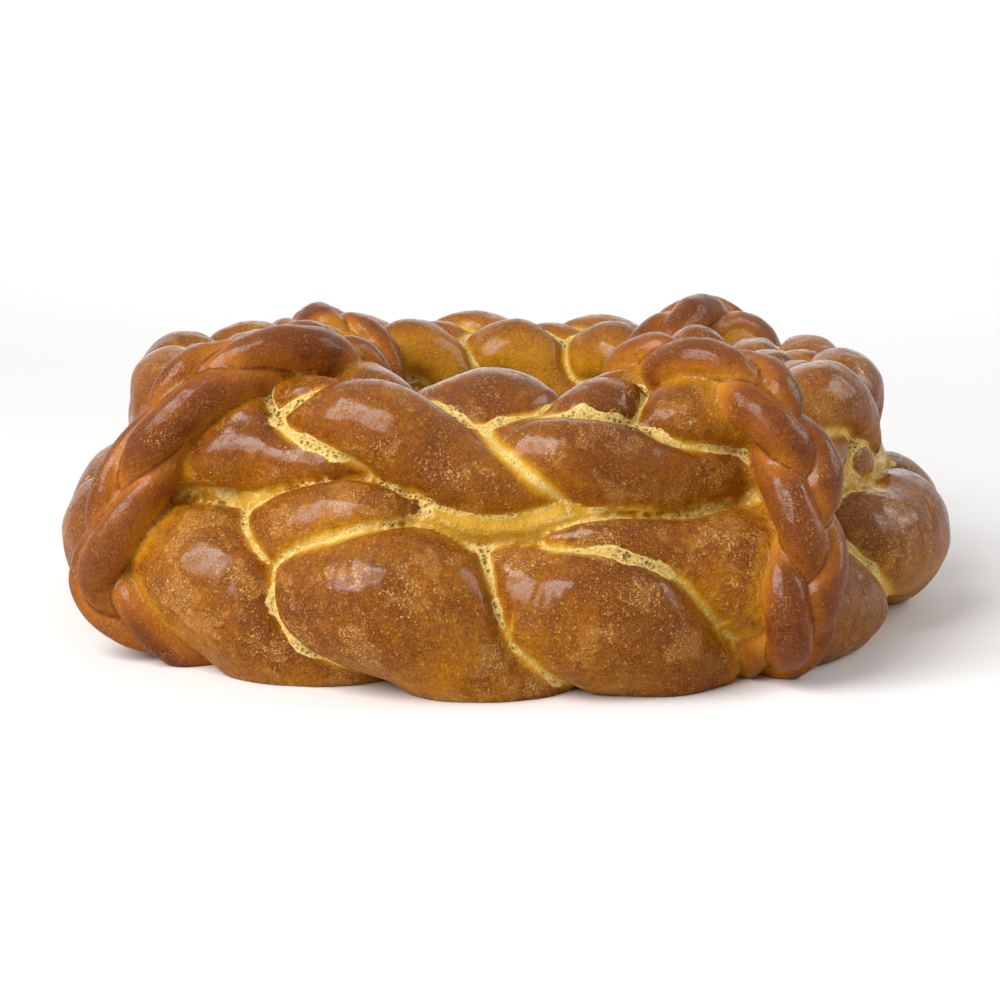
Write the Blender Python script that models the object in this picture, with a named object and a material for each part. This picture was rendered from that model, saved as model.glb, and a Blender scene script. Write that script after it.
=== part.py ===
"""Braided ring loaf, baked as one piece.

A thick three-strand ring lies under a four-strand ring, and four narrow braids are laid across
both like straps, from the ground outside, over the top and down into the open middle.

Metres, +Z up. The loaf rests on z = 0 with the middle of its ring at the origin. Ring angles are
in degrees from the front (-Y) towards +X.
"""
import math
from collections import namedtuple

import bpy
import numpy as np

# Both rings show this many lobes round their outer edge.
LOBES = 14
TRAY = 0.400

# A ring: number of strands, radius and height of its section's middle, how far a strand swings
# to each side and up and down, strand radius, ring angle of lobe 0, how sharply strands cross,
# degrees a lobe leans along the ring, turn of the braid's flat side towards the outside, extra
# thickness at the middle of a lobe, sag of the ring's low side, half width and half height of
# the dough that fills the middle of the section.
Ring = namedtuple("Ring", "strands radius height swing lift strand first snap lean turn swell "
                          "sag core_width core_height")
LOWER = Ring(3, 0.1365, 0.030, 0.0150, 0.0075, 0.0215, -6.0, 0.30, 6.0, 20.0, 0.18, 0.0,
             0.023, 0.022)
UPPER = Ring(4, 0.1180, 0.0775, 0.0155, 0.0075, 0.0155, -11.0, 0.25, 0.0, 0.0, 0.06, 0.007,
             0.020, 0.015)
# Ring angle of the side on which the upper ring lies lowest.
LOW_SIDE = 150.0
# Dough that has risen into the waist between the rings: radius, height, half width, half height.
WAIST_FILL = (0.1340, 0.0550, 0.0165, 0.0120)

# Unevenness of the hand-made braid. A lobe sits off its even spacing by shift degrees and is
# fatter by a share of its radius. Its strand also lies higher or lower than the even braid at
# single places, named in the order in which the strand passes them.
Uneven = namedtuple("Uneven", "shift fat inner arrive rise leave cross after", defaults=(0.0,) * 8)
PLAIN_LOBE = Uneven()
# Where each place lies on a strand, in degrees of its swing; 90 is the middle of the lobe.
NUDGES = {"inner": -45.0, "arrive": 45.0, "rise": 90.0, "leave": 135.0, "cross": 180.0,
          "after": 225.0}
NUDGE_REACH = 45.0
LOWER_LOBES = {
    13: Uneven(fat=0.06, rise=0.004, leave=-0.005),
    0: Uneven(shift=0.5, fat=0.06, arrive=-0.002, rise=0.004, leave=-0.007),
    1: Uneven(shift=2.5, fat=0.06, arrive=-0.007, rise=-0.003, leave=-0.008),
    2: Uneven(shift=-3.0, arrive=0.003, rise=-0.001),
    3: Uneven(shift=8.5, fat=-0.06, rise=0.006),
    4: Uneven(shift=4.0, fat=-0.10, rise=-0.009),
    5: Uneven(shift=2.0, rise=-0.004),
}
UPPER_LOBES = {
    10: Uneven(rise=-0.003),
    11: Uneven(rise=-0.005),
    12: Uneven(rise=-0.005),
    13: Uneven(shift=-4.5, fat=0.14, arrive=-0.008, rise=-0.001, leave=0.003, cross=-0.007, after=-0.004),
    0: Uneven(shift=-1.0, arrive=-0.003, rise=-0.001, leave=-0.003),
    1: Uneven(shift=2.5, fat=0.20, arrive=-0.015, rise=-0.012, leave=-0.007),
    2: Uneven(shift=2.0, fat=0.15, inner=-0.001, arrive=0.001, rise=-0.005),
    3: Uneven(shift=3.0, rise=-0.003),
    4: Uneven(rise=-0.007),
    5: Uneven(rise=-0.006),
}

# A shoulder: a short piece of strand that shows between the tiers, thin at both ends. Ring angle
# of its middle and how far it reaches to each side, radius, height, rise from its middle to its
# end, and thickness.
Shoulder = namedtuple("Shoulder", "angle reach radius height tilt thick")
SHOULDERS = (
    Shoulder(-46.0, 8.0, 0.1440, 0.0580, 0.0, 0.0130),
    Shoulder(-26.0, 14.0, 0.1465, 0.0490, 0.011, 0.0175),
    Shoulder(-46.0, 10.0, 0.1485, 0.0675, 0.006, 0.0125),
    Shoulder(-32.0, 11.0, 0.1270, 0.0875, 0.002, 0.0120),
    Shoulder(1.0, 13.0, 0.1370, 0.0665, -0.005, 0.0130),
    Shoulder(27.0, 13.0, 0.1370, 0.0680, -0.003, 0.0140),
    Shoulder(-6.0, 19.0, 0.1150, 0.0775, -0.005, 0.0170),
    Shoulder(23.0, 17.0, 0.1500, 0.0410, -0.009, 0.0165),
    Shoulder(64.0, 12.0, 0.1310, 0.0560, 0.0, 0.0210),
    Shoulder(63.0, 8.0, 0.1480, 0.0400, -0.004, 0.0170),
)
SHOULDER_STEPS = 33
SHOULDER_TAPER = 0.85
SHOULDER_FULLNESS = 0.7

# A strap: ring angles of its foot, of the lower ring's belly, of the waist between the rings, of
# the crest and of the inside; strand radius; length of one full plait; place in the plait at the
# foot, in degrees; side its first strand swings to; how far its top lies below the front straps.
Strap = namedtuple("Strap", "name angles strand plait start side sag")
STRAPS = (
    Strap("front left", (-43.0, -51.0, -48.0, -37.5, -36.0), 0.0083, 0.140, 84.7, -1, -0.002),
    Strap("front right", (34.0, 33.0, 36.5, 32.0, 30.0), 0.0082, 0.102, 238.7, 1, 0.0),
    Strap("back right", (135.0, 136.0, 135.0, 135.0, 134.0), 0.0088, 0.165, 20.0, 1, 0.006),
    Strap("back left", (-143.0, -143.0, -141.0, -138.0, -142.0), 0.0086, 0.120, 40.0, -1, 0.0105),
)
STRAP_SWING = 0.0068
STRAP_LIFT = 0.0032
# Dough under a strap: how far below the strap's middle it lies, and its radius.
BED_DEPTH = 0.014
BED_RADIUS = 0.0145

# Route of a strap's middle in the section: half axes round the lower ring's foot and round the
# upper ring outside and inside, the waist point, and the tuck under the inside edge.
FOOT_REACH = 0.044
FOOT_DEPTH = 0.026
WAIST = (0.171, 0.063)
CREST_OUT = 0.041
CREST_IN = 0.032
CREST_RISE = 0.0265
INSIDE = ((0.0835, 0.064), (0.0880, 0.044), (0.0925, 0.024), (0.0990, 0.008))

# The sole: the level underside baked on the tray.
SOLE_INNER = 0.112
SOLE_OUTER = 0.154
SOLE_HEIGHT = 0.016

SIDES = 20
STEPS_PER_LOBE = 16
STRAP_STEPS = 120
VOXEL = 0.0024
SMOOTH_PASSES = 4
FACE_TARGET = 9000
CRUST = (0.42, 0.16, 0.035, 1.0)


def clear_scene():
    for obj in list(bpy.data.objects):
        bpy.data.objects.remove(obj, do_unlink=True)


def on_ring(radius, angle, height):
    """Points at a radius, ring angle (degrees) and height."""
    turn = np.radians(angle)
    return np.stack([radius * np.sin(turn), -radius * np.cos(turn), height + 0.0 * turn], -1)


def per_lobe(lobes, field, lobe):
    """A field of the uneven lobes at whole lobe numbers."""
    return np.array([getattr(lobes.get(int(i) % LOBES, PLAIN_LOBE), field) for i in lobe])


def lobe_angles(ring, lobes, lobe):
    """Ring angle of every (fractional) outer lobe number."""
    whole = np.arange(-LOBES, 3 * LOBES)
    placed = ring.first + whole * 360.0 / LOBES + per_lobe(lobes, "shift", whole)
    return np.interp(lobe % LOBES, whole, placed) + 360.0 * np.floor(lobe / LOBES)


def nudged(ring, lobes, lobe, nearest):
    """How much higher the strand lies than in an even braid."""
    place = 360.0 * (lobe - nearest) / ring.strands + 90.0
    up = np.zeros(len(lobe))
    for field, middle in NUDGES.items():
        away = np.clip((place - middle) / NUDGE_REACH, -1.0, 1.0)
        up += per_lobe(lobes, field, nearest) * np.cos(away * math.pi / 2.0) ** 2
    return up


def ring_strand(ring, lobes, start, turns):
    """Middle line and radius of one strand on its way round the ring."""
    lobe = start - 1.0 + np.arange(LOBES * turns * STEPS_PER_LOBE) / STEPS_PER_LOBE
    phase = 2.0 * math.pi * (lobe - start) / ring.strands + math.pi / 2.0
    out = np.sin(phase + ring.snap * np.sin(2.0 * phase))
    over = np.sin(2.0 * phase)
    if ring.strands == 4:
        over = 0.207 * np.cos(phase) - 1.207 * np.cos(3.0 * phase)
    angle = lobe_angles(ring, lobes, lobe) - ring.lean * out
    nearest = start + ring.strands * np.round((lobe - start) / ring.strands)
    outside = np.clip(np.sin(phase), 0.0, 1.0) ** 1.5
    thick = ring.strand * (1.0 + (ring.swell + per_lobe(lobes, "fat", nearest)) * outside)
    turn = math.radians(ring.turn)
    across = ring.swing * out
    up = ring.lift * over + nudged(ring, lobes, lobe, nearest)
    radius = ring.radius + across * math.cos(turn) + up * math.sin(turn)
    height = ring.height - across * math.sin(turn) + up * math.cos(turn)
    height = height - ring.sag * (1.0 + np.cos(np.radians(angle - LOW_SIDE))) / 2.0
    return on_ring(radius, angle, height), thick


def shoulder_strand(shoulder):
    """Middle line and radius of a shoulder."""
    place = np.linspace(-1.0, 1.0, SHOULDER_STEPS)
    path = on_ring(np.full(SHOULDER_STEPS, shoulder.radius),
                   shoulder.angle + shoulder.reach * place, shoulder.height + shoulder.tilt * place)
    return path, shoulder.thick * (1.0 - SHOULDER_TAPER * place ** 2) ** SHOULDER_FULLNESS


def strap_route():
    """Section points (radius, height) of a strap's middle, from its foot to its tucked end."""
    foot = [(LOWER.radius + FOOT_REACH * math.cos(a), LOWER.height + FOOT_DEPTH * math.sin(a))
            for a in np.radians([-70.0, -52.0, -27.0, 4.0])]
    crest = []
    for a in np.radians([30.0, 60.0, 88.0, 116.0, 148.0]):
        reach = CREST_OUT if math.cos(a) > 0.0 else CREST_IN
        crest.append((UPPER.radius + reach * math.cos(a), UPPER.height + CREST_RISE * math.sin(a)))
    return np.array(foot + [WAIST] + crest + list(INSIDE))


def rounded(points, count):
    """A smooth line through the points, evenly stepped; also its running length."""
    padded = np.vstack([2 * points[0] - points[1], points, 2 * points[-1] - points[-2]])
    pieces = []
    t = np.linspace(0.0, 1.0, 24, endpoint=False)[:, None]
    for a, b, c, d in zip(padded, padded[1:], padded[2:], padded[3:]):
        pieces.append(0.5 * (2 * b + (c - a) * t + (2 * a - 5 * b + 4 * c - d) * t ** 2
                             + (3 * b - a - 3 * c + d) * t ** 3))
    line = np.vstack(pieces + [points[-1:]])
    run = np.concatenate([[0.0], np.cumsum(np.linalg.norm(np.diff(line, axis=0), axis=1))])
    even = np.linspace(0.0, run[-1], count)
    return np.stack([np.interp(even, run, line[:, i]) for i in range(line.shape[1])], -1), even


def unit(vectors):
    return vectors / np.linalg.norm(vectors, axis=-1, keepdims=True)


def strap_line(strap):
    """Middle line of a strap and its running length."""
    route = strap_route()
    places = np.arange(len(route)) / (len(route) - 1.0)
    stations = (0.0, 0.23, 0.33, 0.55, 1.0)
    angle = np.interp(places, stations, strap.angles)
    high = np.clip((route[:, 1] - WAIST[1]) / (UPPER.height - WAIST[1]), 0.0, 1.0)
    return rounded(on_ring(route[:, 0], angle, route[:, 1] - strap.sag * high), STRAP_STEPS)


def strap_frame(line):
    """Directions across a strap and out of the loaf, along its middle line."""
    along = unit(np.gradient(line, axis=0))
    turn = np.arctan2(line[:, 0], -line[:, 1])
    sideways = np.stack([np.cos(turn), np.sin(turn), 0.0 * turn], -1)
    return sideways, unit(np.cross(sideways, along))


def strap_bed(strap):
    """Middle line and radius of the dough that beds a strap on the rings."""
    line, _ = strap_line(strap)
    _, outward = strap_frame(line)
    return line - BED_DEPTH * outward, np.full(STRAP_STEPS, BED_RADIUS)


def strap_strand(strap, number):
    """Middle line and radius of one strand of a strap."""
    line, run = strap_line(strap)
    sideways, outward = strap_frame(line)
    phase = 2.0 * math.pi * (run / strap.plait + number / 3.0) + math.radians(strap.start)
    path = line + sideways * (strap.side * STRAP_SWING * np.sin(phase))[:, None]
    path = path + outward * (STRAP_LIFT * np.sin(2.0 * phase))[:, None]
    return path, np.full(STRAP_STEPS, strap.strand)


def tube(path, thick, closed):
    """Vertices and faces of a round tube along a path."""
    count = len(path)
    along = np.roll(path, -1, 0) - np.roll(path, 1, 0) if closed else np.gradient(path, axis=0)
    along = unit(along)
    side = unit(np.cross(along, (0.0, 0.0, 1.0)))
    rise = np.cross(side, along)
    turn = np.linspace(0.0, 2.0 * math.pi, SIDES, endpoint=False)
    round_it = side[:, None] * np.cos(turn)[:, None] + rise[:, None] * np.sin(turn)[:, None]
    verts = (path[:, None] + thick[:, None, None] * round_it).reshape(-1, 3)
    faces = []
    for i in range(count if closed else count - 1):
        a, b = i * SIDES, ((i + 1) % count) * SIDES
        for j in range(SIDES):
            k = (j + 1) % SIDES
            faces.append((a + j, a + k, b + k, b + j))
    if not closed:
        faces.append(tuple(range(SIDES))[::-1])
        faces.append(tuple(range((count - 1) * SIDES, count * SIDES)))
    return verts, faces


def turned(outline):
    """Vertices and faces of a closed section outline turned round the ring's axis."""
    angles = np.linspace(0.0, 360.0, LOBES * STEPS_PER_LOBE, endpoint=False)
    outline = np.array(outline)
    rows = [on_ring(outline[:, 0], np.full(len(outline), a), outline[:, 1]) for a in angles]
    faces = []
    for i in range(len(rows)):
        a, b = i * len(outline), ((i + 1) % len(rows)) * len(outline)
        for j in range(len(outline)):
            k = (j + 1) % len(outline)
            faces.append((a + j, a + k, b + k, b + j))
    return np.vstack(rows), faces


def filling(radius, height, half_width, half_height):
    """Dough that fills a section from the inside: an oval turned round the axis."""
    turn = np.linspace(0.0, 2.0 * math.pi, SIDES, endpoint=False)
    return turned([(radius + half_width * math.cos(t), height + half_height * math.sin(t))
                   for t in turn])


def sole():
    """Level foot under the lower ring."""
    return turned([(SOLE_OUTER, -VOXEL), (SOLE_OUTER, SOLE_HEIGHT), (SOLE_INNER, SOLE_HEIGHT),
                   (SOLE_INNER, -VOXEL)])


def all_dough():
    """Every strand and filling body, as (vertices, faces) pairs."""
    bodies = [sole(), filling(*WAIST_FILL)]
    for ring in (LOWER, UPPER):
        bodies.append(filling(ring.radius, ring.height - ring.sag / 2.0, ring.core_width,
                              ring.core_height))
    bodies.append(tube(*ring_strand(LOWER, LOWER_LOBES, 0, 3), True))
    for start in (0, 1):
        bodies.append(tube(*ring_strand(UPPER, UPPER_LOBES, start, 2), True))
    for shoulder in SHOULDERS:
        bodies.append(tube(*shoulder_strand(shoulder), False))
    for strap in STRAPS:
        bodies.append(tube(*strap_bed(strap), False))
        for number in range(3):
            bodies.append(tube(*strap_strand(strap, number), False))
    return bodies


def joined(bodies):
    """One mesh object of all bodies, still overlapping."""
    verts, faces, first = [], [], 0
    for body_verts, body_faces in bodies:
        verts.extend(body_verts.tolist())
        faces.extend(tuple(first + i for i in face) for face in body_faces)
        first += len(body_verts)
    mesh = bpy.data.meshes.new("braided_loaf")
    mesh.from_pydata(verts, [], faces)
    obj = bpy.data.objects.new("braided_loaf", mesh)
    bpy.context.scene.collection.objects.link(obj)
    return obj


def apply_modifiers(obj):
    """Replace the object's mesh by what its modifiers make of it."""
    graph = bpy.context.evaluated_depsgraph_get()
    mesh = bpy.data.meshes.new_from_object(obj.evaluated_get(graph))
    obj.modifiers.clear()
    obj.data = mesh


def fuse(obj):
    """Turn the overlapping dough into one closed skin."""
    skin = obj.modifiers.new("skin", "REMESH")
    skin.mode = "VOXEL"
    skin.voxel_size = VOXEL
    soft = obj.modifiers.new("soft", "SMOOTH")
    soft.factor = 0.5
    soft.iterations = SMOOTH_PASSES
    apply_modifiers(obj)


def lighten(obj):
    """Bring the skin down to the wanted number of triangles."""
    triangles = sum(len(face.vertices) - 2 for face in obj.data.polygons)
    fewer = obj.modifiers.new("fewer", "DECIMATE")
    fewer.ratio = FACE_TARGET / triangles
    apply_modifiers(obj)


def level_base(obj):
    """Cut the underside level at z = 0."""
    size = TRAY
    mesh = bpy.data.meshes.new("tray")
    corners = [(x * size, y * size, z) for z in (-size, 0.0)
               for x, y in ((-1, -1), (1, -1), (1, 1), (-1, 1))]
    mesh.from_pydata(corners, [], [(3, 2, 1, 0), (4, 5, 6, 7), (0, 1, 5, 4), (1, 2, 6, 5),
                                   (2, 3, 7, 6), (3, 0, 4, 7)])
    tray = bpy.data.objects.new("tray", mesh)
    bpy.context.scene.collection.objects.link(tray)
    cut = obj.modifiers.new("level", "BOOLEAN")
    cut.operation = "DIFFERENCE"
    cut.solver = "EXACT"
    cut.object = tray
    apply_modifiers(obj)
    bpy.data.objects.remove(tray, do_unlink=True)


def bake(obj):
    """Give the loaf its crust colour and round shading."""
    crust = bpy.data.materials.new("crust")
    crust.use_nodes = True
    shader = crust.node_tree.nodes["Principled BSDF"]
    shader.inputs["Base Color"].default_value = CRUST
    shader.inputs["Roughness"].default_value = 0.35
    obj.data.materials.clear()
    obj.data.materials.append(crust)
    for face in obj.data.polygons:
        face.use_smooth = True


def main():
    clear_scene()
    loaf = joined(all_dough())
    fuse(loaf)
    lighten(loaf)
    level_base(loaf)
    bake(loaf)


main()
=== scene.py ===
# %% [markdown]
# # A braided ring loaf
#
# This lesson dresses one piece of baking: a thick three-strand plait closed into a ring, a
# four-strand plait closed into a smaller ring on top of it, and four thin plaits laid across both
# like straps. Everything has baked together, so the loaf is one piece with a brown glossy crust.
#
# The solid made for the physics is the frame. It says where the loaf is and how big it may be.
# The dough that is seen is made again here from the same sizes, with finer surface.

# %% Load the frame
import math
from collections import namedtuple

import bpy
import numpy as np
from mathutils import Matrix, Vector, noise


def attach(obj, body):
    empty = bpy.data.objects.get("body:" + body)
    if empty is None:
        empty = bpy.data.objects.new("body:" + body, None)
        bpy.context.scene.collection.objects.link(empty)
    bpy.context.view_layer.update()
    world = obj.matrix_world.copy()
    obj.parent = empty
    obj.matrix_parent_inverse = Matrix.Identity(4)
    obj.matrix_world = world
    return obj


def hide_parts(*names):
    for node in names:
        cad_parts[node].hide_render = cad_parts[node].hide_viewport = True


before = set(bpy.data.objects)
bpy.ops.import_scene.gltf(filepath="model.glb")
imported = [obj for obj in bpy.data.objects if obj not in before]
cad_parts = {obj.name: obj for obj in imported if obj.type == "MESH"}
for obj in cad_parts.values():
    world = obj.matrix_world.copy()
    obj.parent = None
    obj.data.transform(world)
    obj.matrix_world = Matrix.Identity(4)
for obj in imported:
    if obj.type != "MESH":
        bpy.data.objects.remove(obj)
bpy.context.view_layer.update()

# %% [markdown]
# ## The sizes of the two rings
#
# A plait that closes on itself is a number of strands that weave in and out while they travel
# round. Both rings show fourteen bulges, or lobes, round the outside. A ring is given by the
# radius and height of the middle of its section, by how far each strand swings, and by how thick
# a strand is. The lengths are in metres and the angles in degrees, counted from the front.

# %% Ring sizes
LOBES = 14
Ring = namedtuple("Ring", "strands radius height swing lift strand first snap lean turn swell "
                          "sag core_width core_height loops")
LOWER = Ring(3, 0.1365, 0.030, 0.0150, 0.0075, 0.0215, -6.0, 0.30, 6.0, 20.0, 0.18, 0.0,
             0.023, 0.022, ((0, 3),))
UPPER = Ring(4, 0.1180, 0.0775, 0.0155, 0.0075, 0.0155, -11.0, 0.25, 0.0, 0.0, 0.06, 0.007,
             0.020, 0.015, ((0, 2), (1, 2)))
LOW_SIDE = 150.0
Uneven = namedtuple("Uneven", "shift fat inner arrive rise leave cross after", defaults=(0.0,) * 8)
NUDGES = {"inner": -45.0, "arrive": 45.0, "rise": 90.0, "leave": 135.0, "cross": 180.0,
          "after": 225.0}
LOWER_LOBES = {
    13: Uneven(fat=0.06, rise=0.004, leave=-0.005),
    0: Uneven(shift=0.5, fat=0.06, arrive=-0.002, rise=0.004, leave=-0.007),
    1: Uneven(shift=2.5, fat=0.06, arrive=-0.007, rise=-0.003, leave=-0.008),
    2: Uneven(shift=-3.0, arrive=0.003, rise=-0.001),
    3: Uneven(shift=8.5, fat=-0.06, rise=0.006),
    4: Uneven(shift=4.0, fat=-0.10, rise=-0.009),
    5: Uneven(shift=2.0, rise=-0.004),
}
UPPER_LOBES = {
    10: Uneven(rise=-0.003),
    11: Uneven(rise=-0.005),
    12: Uneven(rise=-0.005),
    13: Uneven(shift=-4.5, fat=0.14, arrive=-0.008, rise=-0.001, leave=0.003, cross=-0.007, after=-0.004),
    0: Uneven(shift=-1.0, arrive=-0.003, rise=-0.001, leave=-0.003),
    1: Uneven(shift=2.5, fat=0.20, arrive=-0.015, rise=-0.012, leave=-0.007),
    2: Uneven(shift=2.0, fat=0.15, inner=-0.001, arrive=0.001, rise=-0.005),
    3: Uneven(shift=3.0, rise=-0.003),
    4: Uneven(rise=-0.007),
    5: Uneven(rise=-0.006),
}
PLAIN_LOBE = Uneven()
Shoulder = namedtuple("Shoulder", "angle reach radius height tilt thick joins")
SHOULDER_GAP = 2.0
SHOULDERS = (
    Shoulder(-46.0, 8.0, 0.1440, 0.0580, 0.0, 0.0130, None),
    Shoulder(-26.0, 14.0, 0.1465, 0.0490, 0.011, 0.0175, None),
    Shoulder(-46.0, 10.0, 0.1485, 0.0675, 0.006, 0.0125, 6),
    Shoulder(-32.0, 11.0, 0.1270, 0.0875, 0.002, 0.0120, None),
    Shoulder(1.0, 13.0, 0.1370, 0.0665, -0.005, 0.0130, 3),
    Shoulder(27.0, 13.0, 0.1370, 0.0680, -0.003, 0.0140, 5),
    Shoulder(-6.0, 19.0, 0.1150, 0.0775, -0.005, 0.0170, 4),
    Shoulder(23.0, 17.0, 0.1500, 0.0410, -0.009, 0.0165, 2),
    Shoulder(64.0, 12.0, 0.1310, 0.0560, 0.0, 0.0210, None),
    Shoulder(63.0, 8.0, 0.1480, 0.0400, -0.004, 0.0170, None),
)
STEPS_PER_LOBE = 24


# %% [markdown]
# ## Where a strand goes
#
# One rule gives the whole plait. A strand's swing to the side is a sine of its place in the
# plait, and it goes over and under its neighbours by a faster sine. The same rule with another
# starting place gives every other strand. Hand-made dough is never even, so single lobes are
# moved a few degrees and made a little fatter.

# %% Strands of a ring
def on_ring(radius, angle, height):
    turn = np.radians(angle)
    return np.stack([radius * np.sin(turn), -radius * np.cos(turn), height + 0.0 * turn], -1)


def per_lobe(lobes, field, lobe):
    """A field of the uneven lobes at whole lobe numbers."""
    return np.array([getattr(lobes.get(int(i) % LOBES, PLAIN_LOBE), field) for i in lobe])


def lobe_angles(ring, lobes, lobe):
    whole = np.arange(-LOBES, 3 * LOBES)
    placed = ring.first + whole * 360.0 / LOBES + per_lobe(lobes, "shift", whole)
    return np.interp(lobe % LOBES, whole, placed) + 360.0 * np.floor(lobe / LOBES)


def ring_strand(ring, lobes, start, turns):
    """Middle line and radius of one strand; it starts where it lies hidden under the others."""
    count = LOBES * turns * STEPS_PER_LOBE
    lobe = start - 1.0 + np.arange(count) / STEPS_PER_LOBE
    phase = 2.0 * math.pi * (lobe - start) / ring.strands + math.pi / 2.0
    out = np.sin(phase + ring.snap * np.sin(2.0 * phase))
    over = np.sin(2.0 * phase)
    if ring.strands == 4:
        over = 0.207 * np.cos(phase) - 1.207 * np.cos(3.0 * phase)
    angle = lobe_angles(ring, lobes, lobe) - ring.lean * out
    nearest = start + ring.strands * np.round((lobe - start) / ring.strands)
    outside = np.clip(np.sin(phase), 0.0, 1.0) ** 1.5
    thick = ring.strand * (1.0 + (ring.swell + per_lobe(lobes, "fat", nearest)) * outside)
    place = 360.0 * (lobe - nearest) / ring.strands + 90.0
    nudge = sum(per_lobe(lobes, field, nearest)
                * np.cos(np.radians(2.0 * np.clip(place - middle, -45.0, 45.0))) ** 2
                for field, middle in NUDGES.items())
    turn = math.radians(ring.turn)
    across, up = ring.swing * out, ring.lift * over + nudge
    radius = ring.radius + across * math.cos(turn) + up * math.sin(turn)
    height = ring.height - across * math.sin(turn) + up * math.cos(turn)
    height = height - ring.sag * (1.0 + np.cos(np.radians(angle - LOW_SIDE))) / 2.0
    return on_ring(radius, angle, height), thick


def shoulder_strand(shoulder):
    """A short piece of strand, thin at both ends, that shows between the tiers."""
    place = np.linspace(-1.0, 1.0, SHOULDER_STEPS)
    path = on_ring(np.full(SHOULDER_STEPS, shoulder.radius), shoulder.angle + shoulder.reach * place,
                   shoulder.height + shoulder.tilt * place)
    return path, shoulder.thick * (1.0 - 0.85 * place ** 2) ** 0.7


SHOULDER_STEPS = 33
lower_strands = [ring_strand(LOWER, LOWER_LOBES, *loop) for loop in LOWER.loops]
upper_strands = [ring_strand(UPPER, UPPER_LOBES, *loop) for loop in UPPER.loops]
shoulder_strands = [shoulder_strand(shoulder) for shoulder in SHOULDERS]
print("strand lengths, m:", [round(float(np.linalg.norm(np.diff(p, axis=0), axis=1).sum()), 2)
                             for p, _ in lower_strands + upper_strands])

# %% [markdown]
# ## The straps
#
# A strap is a thin three-strand plait. It starts tucked under the loaf outside, climbs both
# rings, bridges the waist between them, and goes down into the open middle. Its route is worked
# out in the section of the loaf, from the same rings, and then turned to the strap's own angle.

# %% Strap sizes and routes
Strap = namedtuple("Strap", "name angles strand plait start side sag")
STRAPS = (
    Strap("front left", (-43.0, -51.0, -48.0, -37.5, -36.0), 0.0083, 0.140, 84.7, -1, -0.002),
    Strap("front right", (34.0, 33.0, 36.5, 32.0, 30.0), 0.0082, 0.102, 238.7, 1, 0.0),
    Strap("back right", (135.0, 136.0, 135.0, 135.0, 134.0), 0.0088, 0.165, 20.0, 1, 0.006),
    Strap("back left", (-143.0, -143.0, -141.0, -138.0, -142.0), 0.0086, 0.120, 40.0, -1, 0.0105),
)
STATIONS = (0.0, 0.23, 0.33, 0.55, 1.0)
STRAP_SWING, STRAP_LIFT, STRAP_STEPS = 0.0068, 0.0032, 240
BED_DEPTH, BED_RADIUS = 0.014, 0.0145
FOOT_REACH, FOOT_DEPTH = 0.044, 0.026
WAIST = (0.171, 0.063)
CREST_OUT, CREST_IN, CREST_RISE = 0.041, 0.032, 0.0265
INSIDE = ((0.0835, 0.064), (0.0880, 0.044), (0.0925, 0.024), (0.0990, 0.008))


def strap_route():
    foot = [(LOWER.radius + FOOT_REACH * math.cos(a), LOWER.height + FOOT_DEPTH * math.sin(a))
            for a in np.radians([-70.0, -52.0, -27.0, 4.0])]
    crest = []
    for a in np.radians([30.0, 60.0, 88.0, 116.0, 148.0]):
        reach = CREST_OUT if math.cos(a) > 0.0 else CREST_IN
        crest.append((UPPER.radius + reach * math.cos(a), UPPER.height + CREST_RISE * math.sin(a)))
    return np.array(foot + [WAIST] + crest + list(INSIDE))


def rounded(points, count):
    """A smooth line through the points, evenly stepped, and its running length."""
    padded = np.vstack([2 * points[0] - points[1], points, 2 * points[-1] - points[-2]])
    pieces = []
    t = np.linspace(0.0, 1.0, 24, endpoint=False)[:, None]
    for a, b, c, d in zip(padded, padded[1:], padded[2:], padded[3:]):
        pieces.append(0.5 * (2 * b + (c - a) * t + (2 * a - 5 * b + 4 * c - d) * t ** 2
                             + (3 * b - a - 3 * c + d) * t ** 3))
    line = np.vstack(pieces + [points[-1:]])
    run = np.concatenate([[0.0], np.cumsum(np.linalg.norm(np.diff(line, axis=0), axis=1))])
    even = np.linspace(0.0, run[-1], count)
    return np.stack([np.interp(even, run, line[:, i]) for i in range(line.shape[1])], -1), even


# %% Strands of a strap
def unit(vectors):
    return vectors / np.maximum(np.linalg.norm(vectors, axis=-1, keepdims=True), 1e-12)


def strap_line(strap):
    route = strap_route()
    places = np.arange(len(route)) / (len(route) - 1.0)
    angle = np.interp(places, STATIONS, strap.angles)
    high = np.clip((route[:, 1] - WAIST[1]) / (UPPER.height - WAIST[1]), 0.0, 1.0)
    return rounded(on_ring(route[:, 0], angle, route[:, 1] - strap.sag * high), STRAP_STEPS)


def strap_frame(line):
    along = unit(np.gradient(line, axis=0))
    turn = np.arctan2(line[:, 0], -line[:, 1])
    sideways = np.stack([np.cos(turn), np.sin(turn), 0.0 * turn], -1)
    return sideways, unit(np.cross(sideways, along))


def strap_bed(strap):
    line, _ = strap_line(strap)
    _, outward = strap_frame(line)
    return line - BED_DEPTH * outward, np.full(STRAP_STEPS, BED_RADIUS)


def strap_strand(strap, number):
    line, run = strap_line(strap)
    sideways, outward = strap_frame(line)
    phase = 2.0 * math.pi * (run / strap.plait + number / 3.0) + math.radians(strap.start)
    path = line + sideways * (strap.side * STRAP_SWING * np.sin(phase))[:, None]
    path = path + outward * (STRAP_LIFT * np.sin(2.0 * phase))[:, None]
    return path, np.full(STRAP_STEPS, strap.strand)


strap_strands = [strap_strand(strap, n) for strap in STRAPS for n in range(3)]
strap_beds = [strap_bed(strap) for strap in STRAPS]
print("straps:", len(STRAPS), "of", len(strap_strands) // len(STRAPS), "strands each")

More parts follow.
